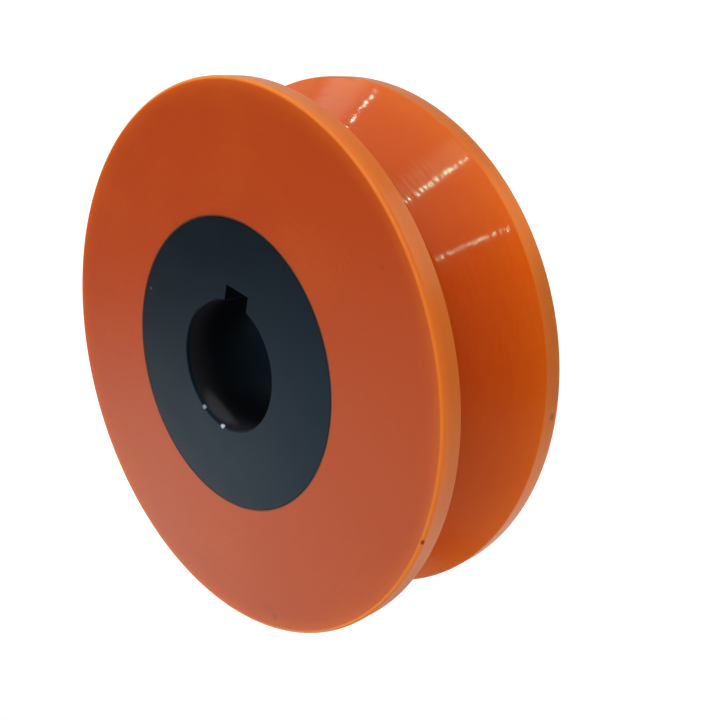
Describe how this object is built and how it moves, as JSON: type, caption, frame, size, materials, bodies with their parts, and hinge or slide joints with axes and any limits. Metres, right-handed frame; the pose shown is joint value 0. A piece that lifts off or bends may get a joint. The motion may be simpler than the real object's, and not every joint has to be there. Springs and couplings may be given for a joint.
{
  "type": "polyurethane roller",
  "caption": "Wheel-shaped drive roller: an orange polyurethane tyre with a V groove between flat lands, bonded to a dark steel hub with a keyed bore, to guide or feed rod, rope or tube.",
  "frame": {"origin": "centre of the bore in the plane of the back face, on which the roller stands", "axes": "+Z along the bore from the back face to the front face, +Y towards the keyway"},
  "size_m": [0.1, 0.1, 0.0305],
  "materials": {
    "hub_steel": "blackened steel, satin",
    "polyurethane": "cast polyurethane, satin faces and polished groove"
  },
  "bodies": {
    "root": {"hub": "hub_steel", "polyurethane_tyre": "polyurethane"}
  },
  "joints": []
}
